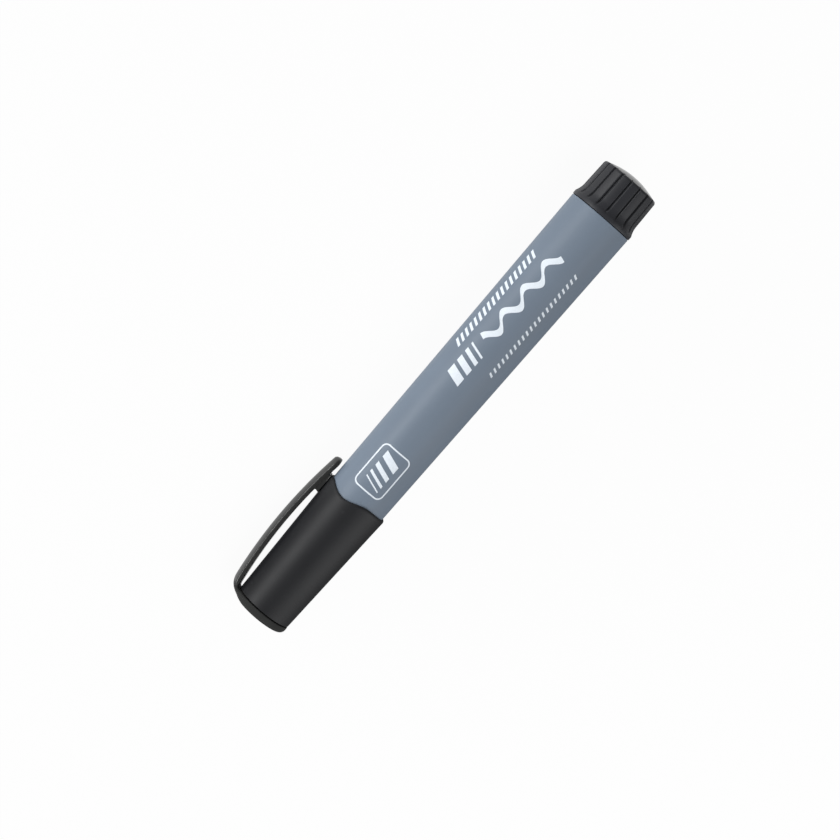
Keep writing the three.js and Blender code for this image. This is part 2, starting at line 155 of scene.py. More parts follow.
TUBE_START = DISC_THICKNESS + SEAT_GAP
LIP = TUBE_START + CAP_LENGTH
SEAT = LIP - LIP_COVER
CLIP_TIP = LIP + CLIP_OVERHANG
LINER_FRONT = TUBE_START + CAP_END_WALL + SEAT_GAP
NOSE_FRONT = LINER_FRONT + LINER_BASE + NIB_ROOM + NIB_PROTRUSION
FLANGE_FRONT = NOSE_FRONT + NOSE_CONE_LENGTH + NOSE_BASE_LENGTH
LINER_MOUTH = FLANGE_FRONT - SEAT_GAP
BORE_STEP = FLANGE_FRONT + HOLDER_FLANGE
NECK_FRONT = BORE_STEP + SEAT_GAP
SHOULDER = SEAT + SEAT_GAP
SOCKET_END = SHOULDER + SOCKET_PAST_SHOULDER
BARREL_END = LIP + BARREL_VISIBLE
PLUG_FACE = BARREL_END + SEAT_GAP
PLUG_SPIGOT_END = PLUG_FACE - PLUG_SPIGOT_LENGTH
GRIP_END = PLUG_FACE + FLANGE_THICKNESS + GRIP_LENGTH

# Fine shape that only this script has.
ROUND_STEPS = 240
SMALL_ROUND_STEPS = 160
CAP_EDGE_ROUND = 0.1
BARREL_EDGE_ROUND = 0.15
PLUG_EDGE_ROUND = 0.15
CLIP_SIDE_SHARE = 0.5
CLIP_CROWN_POWER = 1.7
CLIP_INNER_EDGE_UP = 0.11
CLIP_INNER_EDGE_ACROSS = 0.917
CLIP_ROOT_LENGTH = 2.0
FOOT_SUNK = 0.2
LIP_PULL = 6.0
SEAT_KEPT = 0.2
FLANGE_REACH = 0.18

MM = 0.001
TINY = 1e-6

# Where the marker's axis lies in the frame.
shell_low, shell_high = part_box("cap_shell")
AXIS_X = shell_low[0] - TUBE_START * MM
AXIS_Y = (shell_low[1] + shell_high[1]) / 2
AXIS_Z = (shell_low[2] + shell_high[2]) / 2
AXIS_PLACE = np.array([AXIS_X, AXIS_Y, AXIS_Z])
ROLL = math.radians(-90 - DIP)


def lerp(a, b, share):
    return a + (b - a) * share


def wave(away):
    """A smooth hump: 1 in its middle, and 0 from its edge on."""
    return (1 + math.cos(math.pi * away)) / 2 if away < 1 else 0.0


def cap_radius(x):
    return lerp(CAP_END_RADIUS, CAP_LIP_RADIUS, (x - TUBE_START) / CAP_LENGTH)


def cap_bore(x):
    return cap_radius(x) - CAP_WALL


def liner_radius(x):
    return cap_bore(x) - SEAT_GAP


def barrel_radius(x):
    return lerp(BARREL_LIP_RADIUS, BARREL_END_RADIUS, (x - LIP) / (BARREL_END - LIP))


def barrel_bore(x):
    return barrel_radius(x) - BARREL_WALL


RIB_CREST_RADIUS = barrel_bore(SOCKET_END) - RIB_STAND_OUT
RESERVOIR_RADIUS = RIB_CREST_RADIUS - SEAT_GAP - FILM_THICKNESS - SEAT_GAP
PLUG_HOLLOW_RADIUS = RESERVOIR_RADIUS + SLIDE_GAP


def rolled(points, angle):
    """Points turned about the X axis by an angle in radians."""
    x, y, z = np.asarray(points, float).reshape(-1, 3).T
    c, s = math.cos(angle), math.sin(angle)
    return np.stack([x, y * c - z * s, y * s + z * c], 1)


def placed(points):
    """Points of the marker's own frame, in millimetres, as points of the shared frame in metres."""
    return rolled(points, ROLL) * MM + AXIS_PLACE


def round_point(x, radius, angle):
    """A point of the marker's own frame from its station, radius and angle in radians."""
    return (x, -radius * math.sin(angle), radius * math.cos(angle))


def points_of(mesh):
    points = np.zeros(len(mesh.vertices) * 3)
    mesh.vertices.foreach_get("co", points)
    return points.reshape(-1, 3)


def face_outwards(mesh):
    work = bmesh.new()
    work.from_mesh(mesh)
    bmesh.ops.recalc_face_normals(work, faces=work.faces)
    work.to_mesh(mesh)
    work.free()


def add_object(name, points, faces):
    mesh = bpy.data.meshes.new(name)
    mesh.from_pydata([tuple(point) for point in points], [], faces)
    mesh.update()
    made = bpy.data.objects.new(name, mesh)
    bpy.context.scene.collection.objects.link(made)
    return made


def finish_object(made, body, material, slot, *nodes, smooth=True):
    """Sets an object's normals, shading and material, the body it rides on and the nodes it stands for."""
    face_outwards(made.data)
    made.data.polygons.foreach_set("use_smooth", [smooth] * len(made.data.polygons))
    made.data.materials.clear()
    made.data.materials.append(material)
    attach(made, body)
    if nodes:
        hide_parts(*nodes)


def new_object(name, points, faces, body, material, slot, *nodes, smooth=True):
    made = add_object(name, placed(points), faces)
    finish_object(made, body, material, slot, *nodes, smooth=smooth)


def rounded(profile, radius=EDGE_BREAK, steps=3, closed=False):
    """A profile with rounded corners, and a point on each side of a corner to hold the shading."""
    slightest_turn = math.radians(8)
    most_of_side = 0.3
    hold = 1.5
    count = len(profile)
    made = []
    for i, corner in enumerate(profile):
        if not closed and i in (0, count - 1):
            made.append(corner)
            continue
        here = Vector(corner)
        before = Vector(profile[i - 1]) - here
        after = Vector(profile[(i + 1) % count]) - here
        if before.length < TINY or after.length < TINY:
            continue
        if math.pi - before.angle(after) < slightest_turn:
            made.append(tuple(here))
            continue
        cut = min(radius, before.length * most_of_side, after.length * most_of_side)
        before.normalize()
        after.normalize()
        made.append(tuple(here + before * cut * hold))
        for step in range(steps + 1):
            share = step / steps
            first = here + before * cut * (1 - share)
            second = here + after * cut * share
            made.append(tuple(first.lerp(second, share)))
        made.append(tuple(here + after * cut * hold))
    return made


def skinned(rings, closed=False):
    """Points and faces of rings with equal counts. Rings that don't close get a fan at each end."""
    count = len(rings[0])
    points = [point for ring in rings for point in ring]
    faces = []
    spans = len(rings) if closed else len(rings) - 1
    for span in range(spans):
        a = span * count
        b = ((span + 1) % len(rings)) * count
        for i in range(count):
            j = (i + 1) % count
            faces.append((a + i, a + j, b + j, b + i))
    if not closed:
        for start in (0, (len(rings) - 1) * count):
            centre = len(points)
            points.append(tuple(np.mean(np.array(points[start : start + count]), axis=0)))
            for i in range(count):
                faces.append((start + i, start + (i + 1) % count, centre))
    return points, faces


def turned(profile, steps=ROUND_STEPS, closed=False, shift=None):
    """A profile of stations and radii turned about the axis. shift moves a point's station."""
    least_radius = 1e-3
    rings = []
    for x, radius in profile:
        radius = max(radius, least_radius)
        ring = []
        for i in range(steps):
            angle = 2 * math.pi * i / steps
            station = shift(x, radius, angle) if shift else x
            ring.append(round_point(station, radius, angle))
        rings.append(ring)
    return skinned(rings, closed)


def joined(*shapes):
    points, faces = [], []
    for some_points, some_faces in shapes:
        start = len(points)
        points.extend(some_points)
        faces.extend(tuple(i + start for i in face) for face in some_faces)
    return points, faces


def arc_points(centre_x, centre_r, radius, start, end, steps):
    """Points along an arc from one angle to another, in degrees."""
    made = []
    for i in range(steps + 1):
        angle = math.radians(lerp(start, end, i / steps))
        made.append((centre_x + radius * math.cos(angle), centre_r + radius * math.sin(angle)))
    return made


# Material helpers. Places and the heights of bumps are in metres, and noise scales are per metre.
def new_material(name):
    material = bpy.data.materials.new(name)
    material.use_nodes = True
    tree = material.node_tree
    return material, tree, tree.nodes["Principled BSDF"]


def add_node(tree, kind, **values):
    """A node with its settings. Values whose names start with in_ go to its inputs."""
    node = tree.nodes.new(kind)
    for key, value in values.items():
        if key.startswith("in_"):
            node.inputs[key[3:].replace("_", " ")].default_value = value
        else:
            setattr(node, key, value)
    return node


def place_of(tree):
    return add_node(tree, "ShaderNodeTexCoord").outputs["Object"]


def sides_of(tree, place):
    node = add_node(tree, "ShaderNodeSeparateXYZ")
    tree.links.new(place, node.inputs[0])
    return node.outputs


def stretched(tree, place, scale):
    node = add_node(tree, "ShaderNodeMapping", in_Scale=scale)
    tree.links.new(place, node.inputs["Vector"])
    return node.outputs["Vector"]


def noise(tree, place, scale, detail, roughness=0.55):
    node = add_node(tree, "ShaderNodeTexNoise", in_Scale=scale, in_Detail=detail, in_Roughness=roughness)
    tree.links.new(place, node.inputs["Vector"])
    return node.outputs["Fac"]


def map_range(tree, source, span, values, interpolation="LINEAR"):
    """A value taken from a span of numbers to a span of others, and held at the ends."""
    node = add_node(tree, "ShaderNodeMapRange", interpolation_type=interpolation)
    for name, value in zip(("From Min", "From Max", "To Min", "To Max"), (*span, *values)):
        node.inputs[name].default_value = value
    tree.links.new(source, node.inputs["Value"])
    return node.outputs["Result"]


def calculated(tree, operation, *terms, clamp=False):
    """The result of one operation on numbers and sockets."""
    node = add_node(tree, "ShaderNodeMath", operation=operation, use_clamp=clamp)
    for socket, term in zip(node.inputs, terms):
        if isinstance(term, (int, float)):
            socket.default_value = term
        else:
            tree.links.new(term, socket)
    return node.outputs[0]


def bumped(tree, height, strength, distance):
    node = add_node(tree, "ShaderNodeBump", in_Strength=strength, in_Distance=distance)
    tree.links.new(height, node.inputs["Height"])
    return node


def linear(colour):
    """A colour as it is written, from 0 to 255, as linear light."""
    return tuple(((v / 255 + 0.055) / 1.055) ** 2.4 for v in colour)


def toned(tree, source, colour, *stops):
    """A colour that varies with a value. Each stop is a value and the brightness of the colour there."""
    node = tree.nodes.new("ShaderNodeValToRGB")
    tree.links.new(source, node.inputs["Fac"])
    for element, (position, brightness) in zip(node.color_ramp.elements, stops):
        element.position = position
        element.color = (*(v * brightness for v in linear(colour)), 1)
    return node.outputs["Color"]


def patterned(tree, shader, pattern, colour, tones, roughness, strength, distance):
    """One pattern gives a surface its tone, roughness and bumps."""
    tree.links.new(toned(tree, pattern, colour, *tones), shader.inputs["Base Color"])
    tree.links.new(map_range(tree, pattern, (0, 1), roughness), shader.inputs["Roughness"])
    bumps = bumped(tree, pattern, strength, distance)
    tree.links.new(bumps.outputs["Normal"], shader.inputs["Normal"])


# Materials
STREAK_STRETCH = (0.12, 1.0, 1.0)
STREAK_SCALE = 420
CLOUD_SCALE = 90
GRAIN_SCALE = 5200
GRAIN_HEIGHT = 0.00002
STREAK_HEIGHT = 0.0001
STREAK_SHARE = 1.5
ROUGHNESS_SWING = 0.05
WORN_EDGE = (0.53, 0.62)
WORN_BRIGHTNESS = 2.2
WORN_LIFT = 0.012


def moulded(name, colour, roughness, specular=0.5, grain=0.04, spread=0.1, wear=0.25, change=None):
    """Moulded plastic: flow streaks along the axis, cloudy tone, fine grain, and paler rubbed edges.

    change adds to the roughness along the axis: a pair of stations, and what is added at each.
    """
    material, tree, shader = new_material(name)
    place = place_of(tree)
    streaks = noise(tree, stretched(tree, place, STREAK_STRETCH), STREAK_SCALE, detail=3)
    clouds = noise(tree, place, CLOUD_SCALE, detail=2)
    fine = noise(tree, place, GRAIN_SCALE, detail=2)
    mottle = calculated(tree, "MULTIPLY", calculated(tree, "ADD", streaks, clouds), 0.5)
    tone = toned(tree, mottle, colour, (0.3, 1 - spread), (0.7, 1 + spread))
    pointiness = add_node(tree, "ShaderNodeNewGeometry").outputs["Pointiness"]
    worn = tuple(min(1, v * WORN_BRIGHTNESS + WORN_LIFT) for v in linear(colour))
    rubbed = add_node(tree, "ShaderNodeMixRGB", in_Color2=(*worn, 1))
    tree.links.new(map_range(tree, pointiness, WORN_EDGE, (0.0, wear)), rubbed.inputs["Fac"])
    tree.links.new(tone, rubbed.inputs["Color1"])
    tree.links.new(rubbed.outputs["Color"], shader.inputs["Base Color"])
    shine = map_range(tree, clouds, (0, 1), (roughness - ROUGHNESS_SWING, roughness + ROUGHNESS_SWING))
    if change:
        stations, values = change
        span = [AXIS_X + station * MM for station in stations]
        extra = map_range(tree, sides_of(tree, place)["X"], span, values)
        shine = calculated(tree, "ADD", shine, extra)
    tree.links.new(shine, shader.inputs["Roughness"])
    grains = bumped(tree, fine, grain, GRAIN_HEIGHT)
    flow = bumped(tree, streaks, grain * STREAK_SHARE, STREAK_HEIGHT)
    tree.links.new(grains.outputs["Normal"], flow.inputs["Normal"])
    tree.links.new(flow.outputs["Normal"], shader.inputs["Normal"])
    shader.inputs["Specular IOR Level"].default_value = specular
    return material


def fibrous(name, colour, stretch, scale):
    """Soaked fibre: fine strands along one direction, with a slight sheen."""
    material, tree, shader = new_material(name)
    strands = noise(tree, stretched(tree, place_of(tree), stretch), scale, detail=5, roughness=0.7)
    patterned(
        tree,
        shader,
        strands,
        colour,
        tones=((0.25, 0.5), (0.75, 1.7)),
        roughness=(0.75, 0.95),
        strength=0.6,
        distance=0.0002,
    )
    shader.inputs["Sheen Weight"].default_value = 0.25
    shader.inputs["Sheen Roughness"].default_value = 0.5
    return material


def printed(name, colour):
    """Flat screen print with a slightly uneven ink film."""
    material, tree, shader = new_material(name)
    patterned(
        tree,
        shader,
        noise(tree, place_of(tree), 3000, detail=3),
        colour,
        tones=((0.3, 0.93), (0.6, 1.0)),
        roughness=(0.45, 0.6),
        strength=0.1,
        distance=0.00002,
    )
    shader.inputs["Specular IOR Level"].default_value = 0.3
    return material


def clear_film(name, colour):
    """Thin clear film, faintly wrinkled."""
    material, tree, shader = new_material(name)
    patterned(
        tree,
        shader,
        noise(tree, place_of(tree), 700, detail=3),
        colour,
        tones=((0.3, 0.9), (0.7, 1.0)),
        roughness=(0.15, 0.35),
        strength=0.3,
        distance=0.0001,
    )
    shader.inputs["Transmission Weight"].default_value = 0.5
    return material


# The disc is duller than the clip's arm, and the dome glossier than the plug's grip.
DISC_FADE = (DISC_THICKNESS, DISC_THICKNESS + 1)
DISC_EXTRA_ROUGHNESS = (0.55, 0.0)
DOME_FADE = (GRIP_END - 0.2, GRIP_END + 0.1)
DOME_EXTRA_ROUGHNESS = (0.0, -0.28)

barrel_plastic = moulded(
    "barrel_plastic",
    (112, 124, 138),
    0.47,
    specular=0.22,
    grain=0.03,
    spread=0.03,
    wear=0.2,
)
cap_plastic = moulded(
    "cap_plastic",
    (22, 23, 26),
    0.55,
    specular=0.32,
    grain=0.08,
    spread=0.12,
    wear=0.2,
)
clip_plastic = moulded(
    "clip_plastic",
    (26, 27, 26),
    0.36,
    specular=0.65,
    grain=0.05,
    spread=0.1,
    wear=0.1,
    change=(DISC_FADE, DISC_EXTRA_ROUGHNESS),
)
plug_plastic = moulded(
    "plug_plastic",
    (41, 42, 46),
    0.46,
    specular=0.3,
    grain=0.08,
    spread=0.12,
    wear=0.3,
    change=(DOME_FADE, DOME_EXTRA_ROUGHNESS),
)
holder_plastic = moulded("holder_plastic", (30, 31, 33), 0.4, grain=0.06, spread=0.12)
liner_plastic = moulded("liner_plastic", (70, 71, 74), 0.5, grain=0.06, spread=0.1)
nib_felt = fibrous("nib_felt", (24, 24, 27), (0.2, 1, 1), 6000)
reservoir_fibre = fibrous("reservoir_fibre", (30, 30, 34), (0.05, 1, 1), 5000)
print_white = printed("print_white", (226, 234, 242))
film = clear_film("film", (225, 228, 232))


# Fibre rod and film sleeve, whose CAD solids are shown as they are
def give_material(node, material):
    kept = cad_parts[node]
    if not kept.material_slots:
        kept.data.materials.append(material)
    for slot in kept.material_slots:
        slot.link = "OBJECT"
        slot.material = material


give_material("ink_reservoir", reservoir_fibre)
give_material("reservoir_wrap", film)

# Barrel
neck_bead = (NECK_FRONT + SHOULDER) / 2
barrel_profile = rounded(
    [
        (NECK_FRONT, SOCKET_RADIUS),
        (NECK_FRONT, NECK_RADIUS - LEAD_IN),
        (NECK_FRONT + LEAD_IN, NECK_RADIUS),
        (neck_bead - LEAD_IN, NECK_RADIUS),
        (neck_bead, NECK_RADIUS + NECK_BEAD),
        (neck_bead + LEAD_IN, NECK_RADIUS),
        (SHOULDER, NECK_RADIUS),
        (SHOULDER, barrel_radius(SHOULDER) - SHOULDER_CHAMFER),
        (SHOULDER + SHOULDER_CHAMFER, barrel_radius(SHOULDER + SHOULDER_CHAMFER)),
        (BARREL_END, BARREL_END_RADIUS),
        (BARREL_END, barrel_bore(BARREL_END)),
        (PLUG_SPIGOT_END, barrel_bore(BARREL_END)),
        (SOCKET_END, barrel_bore(SOCKET_END)),
        (SOCKET_END, SOCKET_RADIUS),
    ],
    radius=BARREL_EDGE_ROUND,
    closed=True,
)
barrel_shape = turned(barrel_profile, closed=True)
new_object("barrel_body", *barrel_shape, "barrel", barrel_plastic, "barrel_plastic", "barrel")


def block(low, high, angle):
    """A box in the marker's frame, turned about the axis by an angle in radians."""
    corners = [
        (x, y, z)
        for x in (low[0], high[0])
        for y in (low[1], high[1])
        for z in (low[2], high[2])
    ]
    faces = [(0, 1, 3, 2), (4, 6, 7, 5), (0, 4, 5, 1), (2, 3, 7, 6), (0, 2, 6, 4), (1, 5, 7, 3)]
    return rolled(corners, angle).tolist(), faces


def ribs():
    """The ribs inside the barrel that centre the film sleeve."""
    start = SOCKET_END + BARREL_WALL
    end = PLUG_SPIGOT_END - SEAT_GAP - BARREL_WALL
    root_radius = barrel_radius(start) - BARREL_WALL / 2
    shapes = []
    for i in range(RIB_COUNT):
        low = (start, -RIB_WIDTH / 2, RIB_CREST_RADIUS)
        high = (end, RIB_WIDTH / 2, root_radius)
        shapes.append(block(low, high, 2 * math.pi * (i + 0.5) / RIB_COUNT))
    return joined(*shapes)


new_object("barrel_ribs", *ribs(), "barrel", barrel_plastic, "barrel_plastic", smooth=False)


# Cap tube with its scooped lip
def lip_setback(angle):
    """How far the lip is drawn back at an angle: a scoop beside the clip, and a shallower fall behind."""
    degrees = abs(math.degrees(math.atan2(math.sin(angle), math.cos(angle))))
    scoop = SCOOP_DEPTH * wave(abs(degrees - SCOOP_ANGLE) / SCOOP_HALF_ANGLE)
    return scoop + LIP_FALL_DEPTH * wave((180 - degrees) / LIP_FALL_ANGLE)


def lip_shift(x, radius, angle):
    """The station of a point of the tube once the lip is drawn back, softly outside and shortly inside."""
    hair = 0.02
    start = LIP - LIP_PULL if radius > COVER_RADIUS + hair else SEAT + SEAT_KEPT
    share = min(1.0, max(0.0, (x - start) / (LIP - LIP_ROUND_LENGTH - start)))
    return x - lip_setback(angle) * share * share * (3 - 2 * share)


def cap_outside():
    """The tube's outer line, with close points where the lip is drawn back, and the lip's round edge."""
    step = 2.0
    drawn_count = 13
    plain = np.arange(TUBE_START + step, LIP - LIP_PULL - step / 4, step)
    drawn = np.linspace(LIP - LIP_PULL, LIP - LIP_ROUND_LENGTH, drawn_count, endpoint=False)
    line = [(float(x), cap_radius(float(x))) for x in (*plain, *drawn)]
    for along, out in arc_points(0, 0, 1, start=90, end=0, steps=10):
        line.append((LIP - LIP_ROUND_LENGTH * (1 - along), CAP_LIP_RADIUS - LIP_ROUND_DEPTH * (1 - out)))
    return line


cap_profile = rounded(
    [
        (TUBE_START, SPIGOT_RADIUS + SEAT_GAP),
        (TUBE_START, CAP_END_RADIUS),
        *cap_outside(),
        (LIP, COVER_RADIUS),
        (LIP - LIP_ROUND_LENGTH, COVER_RADIUS),
        (SEAT, COVER_RADIUS),
        (SEAT, CAP_GRIP_RADIUS),
        (BORE_STEP, CAP_GRIP_RADIUS),
        (BORE_STEP - LEAD_IN, cap_bore(BORE_STEP - LEAD_IN)),
        (TUBE_START + CAP_END_WALL, cap_bore(TUBE_START + CAP_END_WALL)),
        (TUBE_START + CAP_END_WALL, SPIGOT_RADIUS + SEAT_GAP),
    ],
    radius=CAP_EDGE_ROUND,
    closed=True,
)
cap_shape = turned(cap_profile, closed=True, shift=lip_shift)
new_object("cap_tube", *cap_shape, "cap", cap_plastic, "cap_plastic", "cap_shell")

# Liner cup
seal_start = FLANGE_FRONT - NOSE_BASE_LENGTH
seal_radius = NOSE_BASE_RADIUS + SLIDE_GAP
liner_base = LINER_FRONT + LINER_BASE
liner_profile = rounded(
    [
        (LINER_FRONT, 0),
        (LINER_FRONT, liner_radius(LINER_FRONT) - LEAD_IN),
        (LINER_FRONT + LEAD_IN, liner_radius(LINER_FRONT + LEAD_IN)),
        (LINER_MOUTH, liner_radius(LINER_MOUTH)),
        (LINER_MOUTH, seal_radius),
        (seal_start, seal_radius),
        (seal_start - LEAD_IN, liner_radius(seal_start - LEAD_IN) - LINER_WALL),
        (liner_base, liner_radius(liner_base) - LINER_WALL),
        (liner_base, 0),
    ]
)
liner_shape = turned(liner_profile, SMALL_ROUND_STEPS)
new_object("liner_cup", *liner_shape, "cap", liner_plastic, "liner_plastic", "inner_cap")

# Nib holder
stem_end = SOCKET_END - SEAT_GAP
holder_profile = rounded(
    [
        (NOSE_FRONT, NIB_BORE),
        (NOSE_FRONT, NOSE_TIP_RADIUS),
        (NOSE_FRONT + NOSE_CONE_LENGTH, NOSE_BASE_RADIUS),
        (FLANGE_FRONT, NOSE_BASE_RADIUS),
        (FLANGE_FRONT, HOLDER_FLANGE_RADIUS),
        (BORE_STEP, HOLDER_FLANGE_RADIUS),
        (BORE_STEP, HOLDER_RADIUS),
        (stem_end - LEAD_IN, HOLDER_RADIUS),
        (stem_end, HOLDER_RADIUS - LEAD_IN),
        (stem_end, NIB_BORE),
    ],
    closed=True,
)
holder_shape = turned(holder_profile, SMALL_ROUND_STEPS, closed=True)
new_object("holder", *holder_shape, "barrel", holder_plastic, "holder_plastic", "nib_holder")


# Skins that are fused and softened, for the clip and the nib
def relaxed(points, mesh, share, rounds=60):
    """Points drawn towards the mean of their neighbours, by a share from 0 to 1 for each."""
    edges = np.zeros(len(mesh.edges) * 2, int)
    mesh.edges.foreach_get("vertices", edges)
    edges = edges.reshape(-1, 2)
    here, there = np.concatenate([edges, edges[:, ::-1]]).T
    neighbours = np.bincount(here, minlength=len(points))[:, None]
    for _ in range(rounds):
        sums = [np.bincount(here, weights=points[there, k], minlength=len(points)) for k in range(3)]
        means = np.stack(sums, 1) / neighbours
        points = points + share[:, None] * (means - points) / 2
    return points


def melted(name, points, faces, body, material, slot, *nodes, voxel, smoothing, trim=None, blend=None):
    """An object whose shapes are fused into one skin and softened.

    blend gives each point its share of further softening, and trim moves points in the marker's frame.
    """
    made = add_object(name, points, faces)
    face_outwards(made.data)
    remesh = made.modifiers.new("remesh", "REMESH")
    remesh.mode = "VOXEL"
    remesh.voxel_size = voxel
    soften = made.modifiers.new("soften", "SMOOTH")
    soften.factor = 0.5
    soften.iterations = smoothing
    fused = bpy.data.meshes.new_from_object(made.evaluated_get(bpy.context.evaluated_depsgraph_get()))
    made.modifiers.clear()
    made.data = fused
    fused.name = name
    points = points_of(fused)
    if blend:
        points = relaxed(points, fused, blend(points))
    if trim:
        points = trim(points)
    fused.vertices.foreach_set("co", placed(points).ravel())
    fused.update()
    finish_object(made, body, material, slot, *nodes)


# Clip: its arm lies between two concentric arcs, and its bend leaves the disc and runs into the outer arc
arch_middle = (CLIP_BEND_RADIUS + CLIP_TIP) / 2
arch_half_chord = (CLIP_TIP - CLIP_BEND_RADIUS) / 2
arch_radius = (arch_half_chord**2 + CLIP_RISE**2) / (2 * CLIP_RISE)
arch_inner = arch_radius - CLIP_THICKNESS
arch_centre = CAP_LIP_RADIUS + CLIP_CLEAR_HEIGHT - arch_inner
bend_centre = arch_centre + math.sqrt((arch_radius - CLIP_BEND_RADIUS) ** 2 - arch_half_chord**2)


def arch_height(x, radius):
    return arch_centre + math.sqrt(radius**2 - (x - arch_middle) ** 2)


def clip_ring(inner, outer, half_width, side_share=CLIP_SIDE_SHARE, steps=14):
    """A section of the arm, flat inside and crowned outside. Its sides stand at a share of its thickness."""
    half = []
    for i in range(steps + 1):
        across = i / steps
        half.append((across, lerp(1, side_share, across**CLIP_CROWN_POWER)))
    half += [(1.0, CLIP_INNER_EDGE_UP), (CLIP_INNER_EDGE_ACROSS, 0.0)]
    half += [(-across, up) for across, up in reversed(half[1:])]
    return [
        (lerp(inner[0], outer[0], up), -across * half_width, lerp(inner[1], outer[1], up))
        for across, up in half
    ]


def clip_arm():
    """The arm from its root in the disc, round the bend and along the arch to its rounded tip."""
    bend_steps = 32
    arm_steps = 60
    tip_steps = 24
    back_face = DISC_THICKNESS - CLIP_SUNK
    root_half_width = math.sqrt(DISC_RADIUS**2 - bend_centre**2) - 2 * EDGE_BREAK
    bend_top = math.atan2(bend_centre - arch_centre, CLIP_BEND_RADIUS - arch_middle)
    inner_end = arch_middle + arch_inner * math.cos(bend_top)
    rings = []
    for i in range(bend_steps + 1):
        share = i / bend_steps
        angle = lerp(math.pi, bend_top, share)
        height = CLIP_BEND_RADIUS * math.sin(angle)
        outer_x = CLIP_BEND_RADIUS + CLIP_SUNK + CLIP_BEND_RADIUS * math.cos(angle)
        inner_x = lerp(back_face, inner_end, max(0.0, (share - CLIP_INNER_RISE) / (1 - CLIP_INNER_RISE)))
        inner_share = min(1.0, share / CLIP_INNER_RISE)
        inner = (inner_x, lerp(bend_centre, arch_height(inner_x, arch_inner), inner_share))
        outer = (outer_x, bend_centre + height)
        blend = max(0.0, 1 - height / CLIP_ROOT_BLEND) ** 2
        half_width = lerp(CLIP_HALF_WIDTH, root_half_width, blend)
        side_share = lerp(CLIP_SIDE_SHARE, CLIP_ROOT_SIDE_SHARE, blend)
        rings.append(clip_ring(inner, outer, half_width, side_share))
    arm_start = arch_middle + arch_radius * math.cos(bend_top)
    for i in range(1, arm_steps + 1):
        x = lerp(arm_start, CLIP_TIP - CLIP_TIP_HALF_WIDTH, i / arm_steps)
        inner = (x, arch_height(x, arch_inner))
        outer = (x, arch_height(x, arch_radius))
        rings.append(clip_ring(inner, outer, lerp(CLIP_HALF_WIDTH, CLIP_TIP_HALF_WIDTH, i / arm_steps)))
    for i in range(1, tip_steps + 1):
        turn = math.pi / 2 * i / (tip_steps + 0.5)
        x = CLIP_TIP - CLIP_TIP_HALF_WIDTH * (1 - math.sin(turn))
        from_end = min(1.0, (CLIP_TIP - x) / CLIP_TIP_ROUND)
        squeeze = CLIP_THICKNESS / 2 * (1 - math.sqrt(max(0.0, 1 - (1 - from_end) ** 2)))
        inner = (x, arch_height(x, arch_inner) + squeeze)
        outer = (x, arch_height(x, arch_radius) - squeeze)
        rings.append(clip_ring(inner, outer, CLIP_TIP_HALF_WIDTH * math.cos(turn) ** CLIP_TIP_BLUNTNESS))
    return skinned(rings)


def clip_foot():
    """The foot under the arm, flared towards the cap."""
    end = LIP - SEAT_GAP
    start = end - FOOT_LENGTH
    top = arch_height(start, arch_inner) + CLIP_THICKNESS / 4
    bottom = cap_radius(start) - FOOT_SUNK

    def level(z, low, high):
        side = FOOT_HALF_WIDTH
        return [(low, -side, z), (high, -side, z), (high, side, z), (low, side, z)]

    return skinned([level(bottom, start - FOOT_DRAFT, end + FOOT_DRAFT / 2), level(top, start, end)])


def clip_disc():
    """The end disc with its round edge, and the spigot behind it."""
    spigot_end = DISC_THICKNESS + SPIGOT_LENGTH
    face_radius = DISC_RADIUS - DISC_ROUND
    hold = 0.1
    profile = [
        (0, 0),
        (0, face_radius - hold),
        *arc_points(DISC_ROUND, face_radius, DISC_ROUND, start=180, end=90, steps=12),
        (DISC_THICKNESS, DISC_RADIUS),
        (DISC_THICKNESS, SPIGOT_RADIUS),
        (spigot_end, SPIGOT_RADIUS),
        (spigot_end, 0),
    ]
    return turned(profile, SMALL_ROUND_STEPS)


def clear_of_tube(points):
    """Lifts whatever reaches into the cap tube's space onto a saddle just clear of it."""
    radius = np.hypot(points[:, 1], points[:, 2])
    least = cap_radius(points[:, 0]) + SEAT_GAP
    inside = (points[:, 0] > TUBE_START + CLIP_ROOT_LENGTH) & (radius < least)
    scale = np.where(inside, least / np.maximum(radius, TINY), 1.0)
    points[:, 1:] *= scale[:, None]
    return points


def root_blend(points):
    """Where the arm grows out of the disc: how much each point is softened there."""
    low, high, end = 4.4, 9.6, 4.2
    low_fade, high_fade, end_fade = 1.2, 1.5, 1.5
    x, z = points[:, 0], points[:, 2]
    near = np.clip((z - low) / low_fade, 0, 1) * np.clip((high - z) / high_fade, 0, 1)
    return near * np.clip((end - x) / end_fade, 0, 1)


melted(
    "clip_and_disc",
    *joined(clip_disc(), clip_arm(), clip_foot()),
    "cap",
    clip_plastic,
    "clip_plastic",
    "clip",
    voxel=0.13,
    smoothing=4,
    trim=clear_of_tube,
    blend=root_blend,
)


# Chisel nib, softened from the CAD solid
def cad_shape(node):
    """A CAD solid's points and faces in the marker's frame."""
    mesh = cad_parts[node].data
    points = rolled(points_of(mesh) - AXIS_PLACE, -ROLL) / MM
    return points.tolist(), [tuple(polygon.vertices) for polygon in mesh.polygons]


melted(
    "nib",
    *cad_shape("chisel_nib"),
    "barrel",
    nib_felt,
    "nib_felt",
    "chisel_nib",
    voxel=0.14,
    smoothing=3,
)


